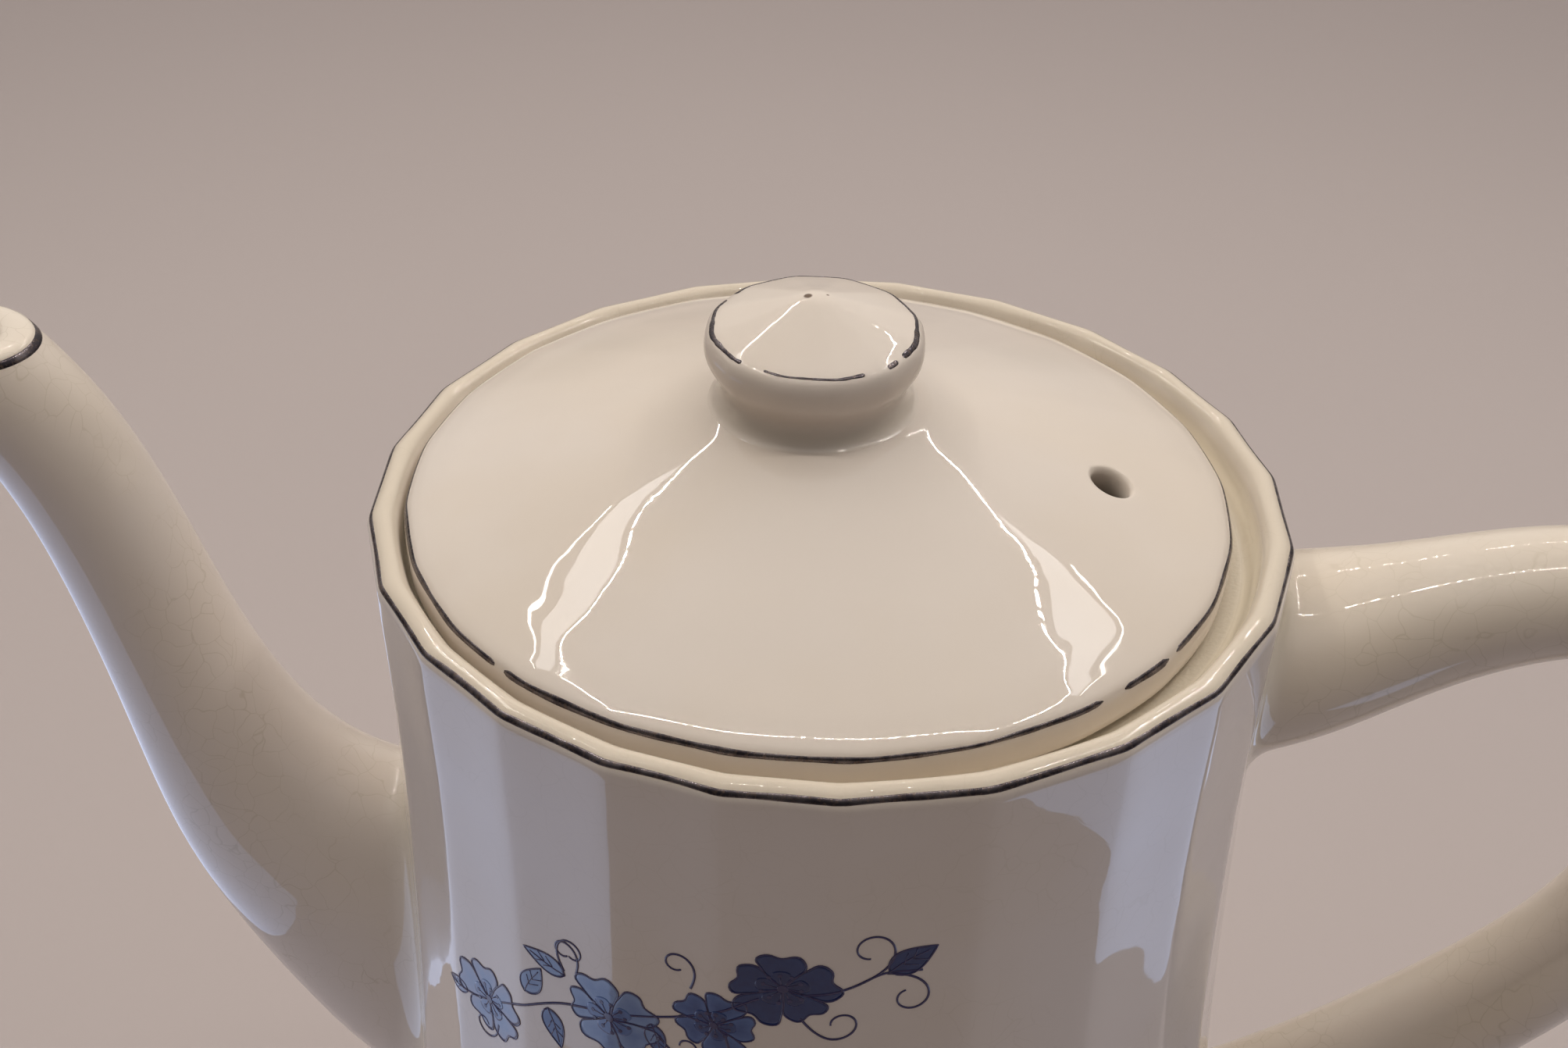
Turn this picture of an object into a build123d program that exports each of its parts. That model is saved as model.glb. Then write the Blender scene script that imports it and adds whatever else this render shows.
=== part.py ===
from build123d import *
import os
from math import cos, radians, sin

# Faceted glazed coffee pot with a lift-off lid. All sizes are in millimetres.
# Origin: centre of the foot, on the table. +Z is up, the handle is at +X and the spout at -X.

# ---- driving dimensions ----
FACETS = 24                  # flat panels round the body and the lid edge
RIM_HEIGHT = 165.0           # table to the outer edge of the rim
RIM_RADIUS = 49.0            # axis to the panel corners at the rim
WALL = 4.0                   # thickness of the cast wall
CLEARANCE = 0.3              # resting gap between the loose lid and its ledge

# ---- body: (height, corner radius) of the faceted outside, foot to rim ----
BODY_OUTLINE = [
    (3.0, 49.6),
    (8.0, 52.4),
    (20.0, 53.8),
    (45.0, 52.2),
    (75.0, 49.8),
    (100.0, 48.3),
    (125.0, 47.8),
    (147.0, 48.1),
    (RIM_HEIGHT, RIM_RADIUS),
]
LIP_RISE = 1.3               # the lip's crown stands this much above its outer edge
LIP_INSET = 1.5              # and this much inside it
INSIDE_BENDS = (45.0, 75.0, 100.0, 125.0)   # heights where the inside wall changes its slant
FLOOR_HEIGHT = 8.0           # inside floor above the table
FLOOR_CORNER = 7.0           # slant between the inside floor and the wall, across
FLOOR_CORNER_RISE = 9.0      # and upwards
FOOT_OUTER = 46.0            # foot ring radii and height
FOOT_INNER = 41.5
FOOT_HEIGHT = 3.2

# ---- gallery: the stepped seat for the lid inside the rim ----
GALLERY_RADIUS = 45.5        # wall of the recess that the lid drops into
GALLERY_DEPTH = 3.4          # rim edge down to the ledge
LEDGE_RADIUS = 40.6          # inner edge of the ledge
LEDGE_THICKNESS = 4.0
LEDGE_TAPER = 6.0            # height over which the ledge runs out into the wall

# ---- lid ----
LID_SHIFT = (-1.3, 0.0)      # the loose lid rests a little off the axis
LID_EDGE_RADIUS = 43.9       # corners of the lid's edge
LID_EDGE_TOP = 2.0           # top of the edge above the rim
LID_EDGE_CHAMFER = 0.8
LID_CROWN = [(28.0, 7.5), (37.0, 4.5)]   # (radius, height above the rim) between knob and edge
LID_RISE = 13.4              # flat seat of the knob above the rim
LID_THICKNESS = 4.0
FLANGE_OUTER = 38.9          # locating flange under the lid
FLANGE_WALL = 3.2
FLANGE_DEPTH = 14.0          # below the ledge
FLANGE_CHAMFER = 1.0
VENT_RADIUS = 2.25           # steam vent
VENT_FROM_AXIS = 30.6
VENT_ANGLE = -5.5            # degrees from +X, on the handle side

# ---- knob, heights above the knob's seat ----
KNOB_SHIFT = (-0.9, 0.0)     # the knob was luted on a little off the lid's axis
KNOB_SEAT_RADIUS = 11.6      # flat on the lid under the knob
KNOB_BASE_RADIUS = 10.6
KNOB_NECK_RADIUS = 9.3
KNOB_NECK_HEIGHT = 2.2
KNOB_MAX_RADIUS = 11.45
KNOB_MAX_HEIGHT = 6.6
KNOB_EDGE_RADIUS = 10.6
KNOB_EDGE_HEIGHT = 8.2
KNOB_HEIGHT = 11.8

# ---- spout: (x, height, half depth, half width) along its centre line ----
SPOUT_STATIONS = [
    (-22.0, 92.5, 25.0, 15.5),
    (-37.5, 97.8, 24.3, 14.8),
    (-50.3, 106.2, 19.9, 12.6),
    (-62.9, 118.2, 13.3, 10.4),
    (-71.6, 136.0, 8.7, 8.6),
    (-77.2, 153.7, 7.4, 7.8),
    (-83.8, 169.4, 7.0, 7.4),
    (-93.5, 181.0, 6.6, 7.1),
    (-104.0, 188.9, 6.5, 7.0),
]
SPOUT_MOUTH_HEIGHT = 181.2   # the mouth is cut level
MOUTH_CUT = (80.0, 60.0, 40.0)   # block that cuts the mouth, larger than the tip
SPOUT_ROOT_WALL = 3.8
SPOUT_TIP_WALL = 2.5
POUR_HOLE_RADIUS = 10.0
POUR_HOLE_HEIGHT = 99.0

# ---- handle: (x, height, half thickness, half width) along its centre line ----
HANDLE_STATIONS = [
    (42.0, 147.0, 10.2, 13.0),
    (52.0, 149.8, 9.6, 11.6),
    (62.0, 153.4, 8.2, 9.3),
    (75.0, 157.6, 7.1, 7.8),
    (87.5, 157.6, 6.6, 7.4),
    (96.2, 150.0, 6.4, 7.3),
    (98.8, 137.0, 6.3, 7.3),
    (96.9, 122.0, 6.3, 7.4),
    (89.6, 107.0, 6.5, 7.5),
    (76.5, 93.2, 6.8, 7.6),
    (61.5, 80.8, 7.0, 8.2),
    (50.0, 71.6, 8.0, 9.8),
    (42.0, 65.4, 9.2, 11.4),
]


def panel_polygon(height, corner_radius):
    """A regular polygon at the given height, with a panel facing +X."""
    outline = RegularPolygon(corner_radius, FACETS, rotation=180.0 / FACETS)
    return Plane.XY.offset(height) * outline


def turned(points):
    """The solid turned about Z from an outline of (radius, height) points."""
    outline = Polyline(*[(radius, 0, height) for radius, height in points], close=True)
    return revolve(make_face(outline), Axis.Z)


def body_radius(height):
    """Corner radius of the body's outside at a height, by straight lines between the outline's points."""
    for (low, low_radius), (high, high_radius) in zip(BODY_OUTLINE, BODY_OUTLINE[1:]):
        if low <= height <= high:
            share = (height - low) / (high - low)
            return low_radius + share * (high_radius - low_radius)
    return BODY_OUTLINE[-1][1]


def body_outside():
    """The faceted outside of the body as one solid block, from the foot to the lip's crown."""
    wall = loft([panel_polygon(height, radius) for height, radius in BODY_OUTLINE])
    lip_edges = [
        panel_polygon(RIM_HEIGHT, RIM_RADIUS),
        panel_polygon(RIM_HEIGHT + LIP_RISE, RIM_RADIUS - LIP_INSET),
    ]
    return wall + loft(lip_edges, ruled=True)


def body_inside():
    """The space inside the body: liquid space, ledge and the open gallery above it."""
    ledge_top = RIM_HEIGHT - GALLERY_DEPTH
    ledge_bottom = ledge_top - LEDGE_THICKNESS
    wall_top = ledge_bottom - LEDGE_TAPER
    flat = cos(radians(180.0 / FACETS))
    corner_top = FLOOR_HEIGHT + FLOOR_CORNER_RISE
    wall_heights = [corner_top, *INSIDE_BENDS, wall_top]
    wall = [(body_radius(height) * flat - WALL, height) for height in wall_heights]
    floor_edge = (wall[0][0] - FLOOR_CORNER, FLOOR_HEIGHT)
    top = RIM_HEIGHT + LIP_RISE + 1.0
    outline = [(0, FLOOR_HEIGHT), floor_edge] + wall
    outline += [(LEDGE_RADIUS, ledge_bottom), (LEDGE_RADIUS, ledge_top)]
    outline += [(GALLERY_RADIUS, ledge_top), (GALLERY_RADIUS, top), (0, top)]
    return turned(outline)


def make_pot_body(outside):
    """Cast body: faceted wall, floor, foot ring, gallery with its ledge, and the pour hole."""
    foot = extrude(Circle(FOOT_OUTER) - Circle(FOOT_INNER), FOOT_HEIGHT)
    pour_hole = Plane.YZ.offset(-RIM_RADIUS - WALL) * Pos(0, POUR_HOLE_HEIGHT)
    hole = extrude(pour_hole * Circle(POUR_HOLE_RADIUS), 4 * WALL)
    return outside - body_inside() + foot - hole


def tube(stations, wall_start=0.0, wall_end=0.0):
    """A smooth elliptical bar along the stations, thinned evenly by a wall that changes from end to end."""
    sections = []
    for index, (x, height, half_depth, half_width) in enumerate(stations):
        before = stations[max(index - 1, 0)]
        after = stations[min(index + 1, len(stations) - 1)]
        direction = Vector(after[0] - before[0], 0, after[1] - before[1])
        share = index / (len(stations) - 1)
        wall = wall_start + share * (wall_end - wall_start)
        across = Plane(origin=(x, 0, height), x_dir=(0, 1, 0), z_dir=direction)
        sections.append(across * Ellipse(half_width - wall, half_depth - wall))
    return loft(sections)


def make_spout(outside):
    """Hollow swan-neck spout, luted to the body over the pour hole, with a level mouth."""
    solid = tube(SPOUT_STATIONS)
    channel = tube(SPOUT_STATIONS, SPOUT_ROOT_WALL, SPOUT_TIP_WALL)
    cut_height = SPOUT_MOUTH_HEIGHT + MOUTH_CUT[2] / 2
    above_mouth = Pos(SPOUT_STATIONS[-1][0], 0, cut_height) * Box(*MOUTH_CUT)
    return solid - channel - above_mouth - outside


def make_handle(outside):
    """Solid loop handle, luted to the body at both ends."""
    return tube(HANDLE_STATIONS) - outside


def make_lid():
    """Faceted lid: shallow cone, edge that rests on the ledge, deep locating flange and steam vent."""
    seat = RIM_HEIGHT - GALLERY_DEPTH + CLEARANCE
    edge_top = RIM_HEIGHT + LID_EDGE_TOP
    crown = RIM_HEIGHT + LID_RISE
    flange_inner = FLANGE_OUTER - FLANGE_WALL
    under_crown = crown - LID_THICKNESS
    under_shoulder = RIM_HEIGHT + LID_CROWN[-1][1] - LID_THICKNESS
    top = [(0, crown), (KNOB_SEAT_RADIUS, crown)]
    top += [(radius, RIM_HEIGHT + rise) for radius, rise in LID_CROWN]
    edge_outline = [
        (LID_EDGE_RADIUS - LID_EDGE_CHAMFER, edge_top),
        (LID_EDGE_RADIUS, edge_top - LID_EDGE_CHAMFER),
        (LID_EDGE_RADIUS, seat + LID_EDGE_CHAMFER),
        (LID_EDGE_RADIUS - LID_EDGE_CHAMFER, seat),
    ]
    flange = [
        (FLANGE_OUTER, seat),
        (FLANGE_OUTER, seat - FLANGE_DEPTH + FLANGE_CHAMFER),
        (FLANGE_OUTER - FLANGE_CHAMFER, seat - FLANGE_DEPTH),
        (flange_inner, seat - FLANGE_DEPTH),
        (flange_inner, under_shoulder),
    ]
    underside = [(KNOB_SEAT_RADIUS, under_crown), (0, under_crown)]
    edge = Plane.XY.offset(seat - FLANGE_DEPTH) * RegularPolygon(
        LID_EDGE_RADIUS, FACETS, rotation=180.0 / FACETS
    )
    lid = turned(top + edge_outline + flange + underside)
    lid = lid & extrude(edge, crown - seat + FLANGE_DEPTH)
    vent_x = VENT_FROM_AXIS * cos(radians(VENT_ANGLE))
    vent_y = VENT_FROM_AXIS * sin(radians(VENT_ANGLE))
    vent = Pos(vent_x, vent_y, crown) * Cylinder(VENT_RADIUS, 4 * LID_RISE)
    return Pos(*LID_SHIFT) * (lid - vent)


def make_lid_knob():
    """Waisted knob with a low conical top, standing on the flat seat at the lid's centre."""
    with BuildPart() as knob:
        with BuildSketch(Plane.XZ):
            with BuildLine():
                neck = (KNOB_NECK_RADIUS, KNOB_NECK_HEIGHT)
                widest = (KNOB_MAX_RADIUS, KNOB_MAX_HEIGHT)
                edge = (KNOB_EDGE_RADIUS, KNOB_EDGE_HEIGHT)
                Line((0, 0), (KNOB_BASE_RADIUS, 0))
                Spline((KNOB_BASE_RADIUS, 0), neck, widest, edge)
                Line(edge, (0, KNOB_HEIGHT))
                Line((0, KNOB_HEIGHT), (0, 0))
            make_face()
        revolve(axis=Axis.Z)
    x, y = LID_SHIFT[0] + KNOB_SHIFT[0], LID_SHIFT[1] + KNOB_SHIFT[1]
    return Pos(x, y, RIM_HEIGHT + LID_RISE) * knob.part


def main():
    """Builds each piece and writes it to its own STEP file."""
    outside = body_outside()
    pieces = {
        "pot_body": make_pot_body(outside),
        "spout": make_spout(outside),
        "handle": make_handle(outside),
        "lid": make_lid(),
        "lid_knob": make_lid_knob(),
    }
    os.makedirs("parts", exist_ok=True)
    for node, shape in pieces.items():
        export_step(shape, f"parts/{node}.step")


main()
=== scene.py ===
"""Looks of a faceted ceramic coffee pot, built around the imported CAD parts.

Shapes are worked out in millimetres in the CAD frame: Z is up, the handle is at +X, the spout at -X.
"""

from math import cos, hypot, pi, radians, sin

import bpy
import numpy as np
from mathutils import Matrix, Vector
from mathutils.bvhtree import BVHTree


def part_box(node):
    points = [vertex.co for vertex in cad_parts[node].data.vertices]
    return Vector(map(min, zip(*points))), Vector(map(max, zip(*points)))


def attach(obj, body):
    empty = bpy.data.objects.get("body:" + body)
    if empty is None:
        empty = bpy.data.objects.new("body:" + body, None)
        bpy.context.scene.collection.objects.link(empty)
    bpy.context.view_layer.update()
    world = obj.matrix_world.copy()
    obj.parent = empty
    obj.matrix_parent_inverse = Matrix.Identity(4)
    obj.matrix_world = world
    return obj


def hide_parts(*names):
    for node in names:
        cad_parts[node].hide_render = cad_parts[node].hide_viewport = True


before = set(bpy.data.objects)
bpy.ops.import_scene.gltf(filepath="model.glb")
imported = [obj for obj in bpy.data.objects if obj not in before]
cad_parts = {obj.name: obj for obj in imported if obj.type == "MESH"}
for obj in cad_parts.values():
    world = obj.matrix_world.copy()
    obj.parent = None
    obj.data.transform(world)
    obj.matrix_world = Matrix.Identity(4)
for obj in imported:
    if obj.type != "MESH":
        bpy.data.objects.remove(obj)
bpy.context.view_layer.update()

MM = 0.001                    # metres in a millimetre

# Light strips over the pot, and the lamps round them
LIGHTS_TOP = 565.0
LIGHTS_HALF = 230.0
LIGHTS_FRONT = -22.0
LIGHTS_BACK = 420.0
STRIP = 1.8                   # width of a strip
STRIP_RADIANCE = 138.0
LED_PITCH = 7.5
LED_SHARE = 0.55              # lit share of each step
SIDE_LAMPS_Y = 190.0          # middle of the lamps outside the strips
OUTER_STRIP_X = 285.0
REFLECTOR_X = 258.0
WARM = (1.0, 0.93, 0.85)
NEAR_WHITE = (1.0, 0.97, 0.95)
COOL = (0.44, 0.62, 1.0)

# Shape shared by the turned pieces
PANELS = 24                   # flat panels round the body and the lid
KNOB_PANELS = 12
COLUMNS_PER_PANEL = 12
RIDGE_ROUNDING = 0.14         # radius of a ridge, as a share of the corner radius
LID_ROUNDING = 0.3
KNOB_ROUNDING = 0.35
KNOB_FOOT = 2.5               # height over which the knob's foot follows the lid
CORNER_AZIMUTH = radians(52.5)   # a ridge away from the spout and the handle, for measuring

# Body
LIP_CROWN = 1.3               # height of the lip's crown above the rim's corner
GALLERY_DROP = 3.4            # from the rim's corner down to the ledge
LID_PLAY = 0.3                # between the lid's edge and the ledge
FLANGE_RADIUS = 38.9          # locating flange under the lid
FLANGE_INSIDE = 35.7
POUR_HOLE_RADIUS = 10.0
POUR_HOLE_HEIGHT = 99.0
VENT_REACH = 30.6             # steam vent from the lid's axis
VENT_AZIMUTH = radians(-5.5)
CONE_SLOPE = radians(19)      # of the lid's top
PANEL_DISH = 0.05             # how far a panel is hollow at its middle
WAVE = 0.05                   # height of the slow waves that a hand-finished mould leaves
SUNK = 0.5                    # how far the roots of spout and handle go into the wall

# Centrelines and half sizes, the same as the CAD's: (x, z, half depth, half width)
SPOUT_STATIONS = [
    (-22.0, 92.5, 25.0, 15.5),
    (-37.5, 97.8, 24.3, 14.8),
    (-50.3, 106.2, 19.9, 12.6),
    (-62.9, 118.2, 13.3, 10.4),
    (-71.6, 136.0, 8.7, 8.6),
    (-77.2, 153.7, 7.4, 7.8),
    (-83.8, 169.4, 7.0, 7.4),
    (-93.5, 181.0, 6.6, 7.1),
    (-104.0, 188.9, 6.5, 7.0),
]
SPOUT_ROOT_WALL = 3.8
SPOUT_TIP_WALL = 2.5
SPOUT_FILLET = 3.0
MOUTH_ROUNDING = 0.5
HANDLE_STATIONS = [
    (42.0, 147.0, 10.2, 13.0),
    (52.0, 149.8, 9.6, 11.6),
    (62.0, 153.4, 8.2, 9.3),
    (75.0, 157.6, 7.1, 7.8),
    (87.5, 157.6, 6.6, 7.4),
    (96.2, 150.0, 6.4, 7.3),
    (98.8, 137.0, 6.3, 7.3),
    (96.9, 122.0, 6.3, 7.4),
    (89.6, 107.0, 6.5, 7.5),
    (76.5, 93.2, 6.8, 7.6),
    (61.5, 80.8, 7.0, 8.2),
    (50.0, 71.6, 8.0, 9.8),
    (42.0, 65.4, 9.2, 11.4),
]
HANDLE_FILLET = 2.2
AROUND = 72                   # points round the spout and the handle

# Metallic lines and printed decoration
LINE_LIFT = 0.05              # how far the metal stands off the glaze
INK_LIFT = 0.035
SPRAY_RADIUS = 48.3           # mean radius of the decorated wall
CREAM = (0.79, 0.725, 0.675)
LID_CREAM = (0.765, 0.69, 0.625)
# pooled glaze colour, yellower and lighter than the cream: its lightness is painted bounce light in the
# gallery and other hollows
POOLED_GLAZE_AND_BOUNCE_LIGHT = (0.85, 0.775, 0.62)
# painted shade that darkens the top of the lip
LIP_PAINTED_SHADE = (0.71, 0.625, 0.515)
CRACK_BROWN = (0.47, 0.40, 0.28)
SPECK_BROWN = (0.10, 0.065, 0.04)
PINHOLE_BROWN = (0.13, 0.08, 0.05)
BARE_CLAY = ((0.60, 0.53, 0.42), (0.74, 0.68, 0.57))
PETALS = 5                    # of each blossom
KNOB_MARKS = [((-3.0, 0.0, 190.0), 0.55), ((-1.0, 0.5, 190.2), 0.28), ((-0.2, 0.3, 190.1), 0.2)]


# ---------------------------------------------------------------- measuring the CAD parts

trees = {}


def cad_hit(node, origin, direction):
    """Where a ray first meets a CAD node. Points are in millimetres."""
    if node not in trees:
        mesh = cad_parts[node].data
        points = [vertex.co / MM for vertex in mesh.vertices]
        faces = [tuple(polygon.vertices) for polygon in mesh.polygons]
        trees[node] = BVHTree.FromPolygons(points, faces)
    return trees[node].ray_cast(Vector(origin), Vector(direction).normalized())[0]


def radius_at(node, height, inside=False):
    """Radius of a turned CAD node's outside or inside on a ridge at a height."""
    way = Vector((cos(CORNER_AZIMUTH), sin(CORNER_AZIMUTH), 0))
    start = way * (0 if inside else 100)
    start.z = height
    hit = cad_hit(node, start, way if inside else -way)
    return hypot(hit.x, hit.y)


def box_mm(node):
    low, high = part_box(node)
    return low / MM, high / MM


def centre_of(node):
    """Axis of a turned node, which may stand a little off the pot's."""
    low, high = box_mm(node)
    return (low.x + high.x) / 2, (low.y + high.y) / 2


RIM = box_mm("pot_body")[1].z - LIP_CROWN
LEDGE = RIM - GALLERY_DROP
LID_SEAT = LEDGE + LID_PLAY
WALL_HEIGHTS = np.arange(4.0, RIM, 1.0)
WALL_RADII = np.array([radius_at("pot_body", height) for height in WALL_HEIGHTS])


# ---------------------------------------------------------------- surfaces


def off_azimuth(theta, azimuth):
    """Angle from an azimuth in degrees, between -pi and pi."""
    return (np.asarray(theta) - radians(azimuth) + pi) % (2 * pi) - pi


def ridge_drift(theta):
    """How far round the body's ridges stand from an even spacing, in radians."""
    front = -4.1 * np.exp(-((off_azimuth(theta, 276) / radians(19)) ** 2))
    handle_side = 2.6 * np.exp(-((off_azimuth(theta, 8) / radians(24)) ** 2))
    spout_side = 1.3 * np.exp(-((off_azimuth(theta, 200) / radians(24)) ** 2))
    return np.radians(front + handle_side + spout_side)


def unit_panel(theta, panels, rounding):
    """Radius, over the corner radius, of a polygon with rounded ridges and a panel facing +X."""
    half = pi / panels
    offset = np.abs((np.asarray(theta) + half) % (2 * half) - half)
    flat = cos(half)
    centre = (flat - rounding) / flat
    tangent = np.arctan(centre * sin(half) / flat)
    from_ridge = half - offset
    under = np.maximum(rounding**2 - (centre * np.sin(from_ridge)) ** 2, 0)
    ridge = centre * np.cos(from_ridge) + np.sqrt(under)
    return np.where(offset < tangent, flat / np.cos(offset), ridge)


def waves(theta, height):
    """Slow unevenness of the wall, in millimetres."""
    first = np.sin(3 * theta + height / 23.0) + 0.8 * np.sin(7 * theta - height / 14.0 + 1.3)
    second = 0.5 * np.sin(17 * theta + height / 31.0) + 0.5 * np.sin(11 * theta + height / 7.5)
    return WAVE * (first + second - 2.8) / 2


def wall_radius(theta, height):
    """Radius of the body's outside at an azimuth and a height."""
    corner = np.interp(height, WALL_HEIGHTS, WALL_RADII)
    half = pi / PANELS
    settled = np.clip((np.asarray(height) - 30) / 40, 0, 1)
    even = np.asarray(theta) - settled * ridge_drift(theta)
    offset = (even + half) % (2 * half) - half
    dish = PANEL_DISH * np.cos(offset * PANELS / 2) ** 2
    return corner * unit_panel(even, PANELS, RIDGE_ROUNDING) - dish + waves(theta, height)


def smooth_rows(points, spacing=0.35):
    """A smooth line through rows of numbers, with no step longer than spacing."""
    points = np.array(points, float)
    chords = np.hypot(*np.diff(points[:, :2], axis=0).T)
    slopes = np.diff(points, axis=0) / chords[:, None]
    middle = slopes[:-1] * chords[1:, None] + slopes[1:] * chords[:-1, None]
    tangents = np.vstack([slopes[0], middle / (chords[1:] + chords[:-1])[:, None], slopes[-1]])
    rows = [points[0]]
    for index, chord in enumerate(chords):
        steps = max(1, int(np.ceil(chord / spacing)))
        for step in range(1, steps + 1):
            t = step / steps
            leaving_bend = (t**3 - 2 * t**2 + t) * chord * tangents[index]
            start = (2 * t**3 - 3 * t**2 + 1) * points[index] + leaving_bend
            arriving_bend = (t**3 - t**2) * chord * tangents[index + 1]
            end = (3 * t**2 - 2 * t**3) * points[index + 1] + arriving_bend
            rows.append(start + end)
    return np.array(rows)


def placed(rows, radius, height):
    """Rows that are given from a radius and a height."""
    return [(radius + across, height + up, share) for across, up, share in rows]


class Turned:
    """A turned surface with soft panels. A row is (radius, height, share of the panels' shape)."""

    def __init__(self, rows, panels, rounding, centre=(0.0, 0.0)):
        self.rows = rows
        self.panels = panels
        self.rounding = rounding
        self.centre = centre
        steps = np.hypot(*np.diff(rows[:, :2], axis=0).T)
        self.along = np.concatenate([[0], np.cumsum(steps)])

    def columns(self):
        """Azimuths that are close together on the ridges."""
        half = pi / self.panels
        even = np.linspace(-1, 1, COLUMNS_PER_PANEL, endpoint=False)
        offsets = half * np.sin(even * pi / 2) * (1 - 0.25 * np.cos(even * pi / 2) ** 2)
        centres = np.arange(self.panels) * 2 * half
        return (centres[:, None] + offsets).ravel()

    def radius(self, theta, radius, height, share):
        polygon = radius * unit_panel(theta, self.panels, self.rounding)
        return radius + share * (polygon - radius)

    def points(self, theta, radius, height, share):
        reach = self.radius(theta, radius, height, share)
        x = self.centre[0] + reach * np.cos(theta)
        y = self.centre[1] + reach * np.sin(theta)
        return np.stack([x, y, height + 0 * reach], axis=-1)

    def at(self, theta, distance, lift=0.0):
        """Points at a distance along the rows, lifted off the surface."""
        radius, height, share = [np.interp(distance, self.along, column) for column in self.rows.T]
        ahead = [np.interp(distance + 0.05, self.along, column) for column in self.rows.T[:2]]
        behind = [np.interp(distance - 0.05, self.along, column) for column in self.rows.T[:2]]
        run = ahead[0] - behind[0]
        rise = ahead[1] - behind[1]
        length = np.hypot(run, rise)
        surface = self.points(theta, radius, height, share)
        normal = np.stack([rise * np.cos(theta), rise * np.sin(theta), -run], axis=-1)
        return surface + lift * normal / length[..., None]

    def nearest(self, radius, height):
        """Distance along the rows of the row nearest to a radius and a height."""
        gaps = np.hypot(self.rows[:, 0] - radius, self.rows[:, 1] - height)
        return self.along[np.argmin(gaps)]


class Body(Turned):
    """The turned body, whose panels follow the measured wall."""

    def columns(self):
        even = super().columns()
        return even + ridge_drift(even + ridge_drift(even))

    def radius(self, theta, radius, height, share):
        corner = np.interp(height, WALL_HEIGHTS, WALL_RADII)
        panelled = radius + wall_radius(theta, height) - corner
        return radius + share * (panelled - radius)


# ---------------------------------------------------------------- meshes


def new_mesh(name, points, faces, body, material, attributes=None):
    """A smooth mesh piece that rides on a CAD body. Points are in millimetres."""
    mesh = bpy.data.meshes.new(name)
    mesh.from_pydata((np.asarray(points) * MM).tolist(), [], faces)
    for key, values in (attributes or {}).items():
        attribute = mesh.attributes.new(key, "FLOAT", "POINT")
        attribute.data.foreach_set("value", np.asarray(values, np.float32).ravel())
    mesh.polygons.foreach_set("use_smooth", [True] * len(mesh.polygons))
    mesh.materials.append(material)
    mesh.update()
    piece = bpy.data.objects.new(name, mesh)
    bpy.context.scene.collection.objects.link(piece)
    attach(piece, body)
    return piece


def band_faces(rows, columns, close_rows=False, start=0):
    """Quads between rows of a grid whose columns go all the way round."""
    faces = []
    for row in range(rows if close_rows else rows - 1):
        above = (row + 1) % rows
        for column in range(columns):
            beside = (column + 1) % columns
            corners = (row * columns + column, row * columns + beside)
            corners += (above * columns + beside, above * columns + column)
            faces.append(tuple(start + corner for corner in corners))
    return faces


def turned_piece(name, surface, body, material, attributes):
    """A closed turned piece. Its first and last rows are points on the axis."""
    theta = surface.columns()
    columns = len(theta)
    middle = surface.rows[1:-1]
    grid = np.concatenate([surface.points(theta, *row) for row in middle])
    ends = [[*surface.centre, surface.rows[0][1]], [*surface.centre, surface.rows[-1][1]]]
    points = np.vstack([grid, ends])
    faces = band_faces(len(middle), columns)
    first = len(grid)
    last_row = (len(middle) - 1) * columns
    for column in range(columns):
        beside = (column + 1) % columns
        faces.append((first, beside, column))
        faces.append((first + 1, last_row + column, last_row + beside))
    values = {key: function(points) for key, function in attributes.items()}
    return new_mesh(name, points, faces, body, material, values)


def cut(piece, cutter_points, cutter_faces):
    """Takes a closed cutter out of a piece."""
    mesh = bpy.data.meshes.new("cutter")
    mesh.from_pydata((np.asarray(cutter_points) * MM).tolist(), [], cutter_faces)
    cutter = bpy.data.objects.new("cutter", mesh)
    bpy.context.scene.collection.objects.link(cutter)
    modifier = piece.modifiers.new("cut", "BOOLEAN")
    modifier.operation = "DIFFERENCE"
    modifier.solver = "EXACT"
    modifier.object = cutter
    bpy.context.view_layer.update()
    evaluated = piece.evaluated_get(bpy.context.evaluated_depsgraph_get())
    result = bpy.data.meshes.new_from_object(evaluated)
    result.name = piece.name
    result.polygons.foreach_set("use_smooth", [True] * len(result.polygons))
    piece.modifiers.clear()
    piece.data = result
    bpy.data.objects.remove(cutter)


def cutter_along(direction, centre, rows, sides=40):
    """A closed turned cutter with its axis on a direction: rows are (distance along it, radius)."""
    turn = Vector((0, 0, 1)).rotation_difference(Vector(direction)).to_matrix()
    points = []
    for distance, radius in rows:
        for side in range(sides):
            angle = 2 * pi * side / sides
            local = Vector((radius * cos(angle), radius * sin(angle), distance))
            points.append(Vector(centre) + turn @ local)
    faces = band_faces(len(rows), sides)
    faces.append(tuple(reversed(range(sides))))
    faces.append(tuple(range((len(rows) - 1) * sides, len(rows) * sides)))
    return points, faces


# ---------------------------------------------------------------- spout and handle


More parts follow.
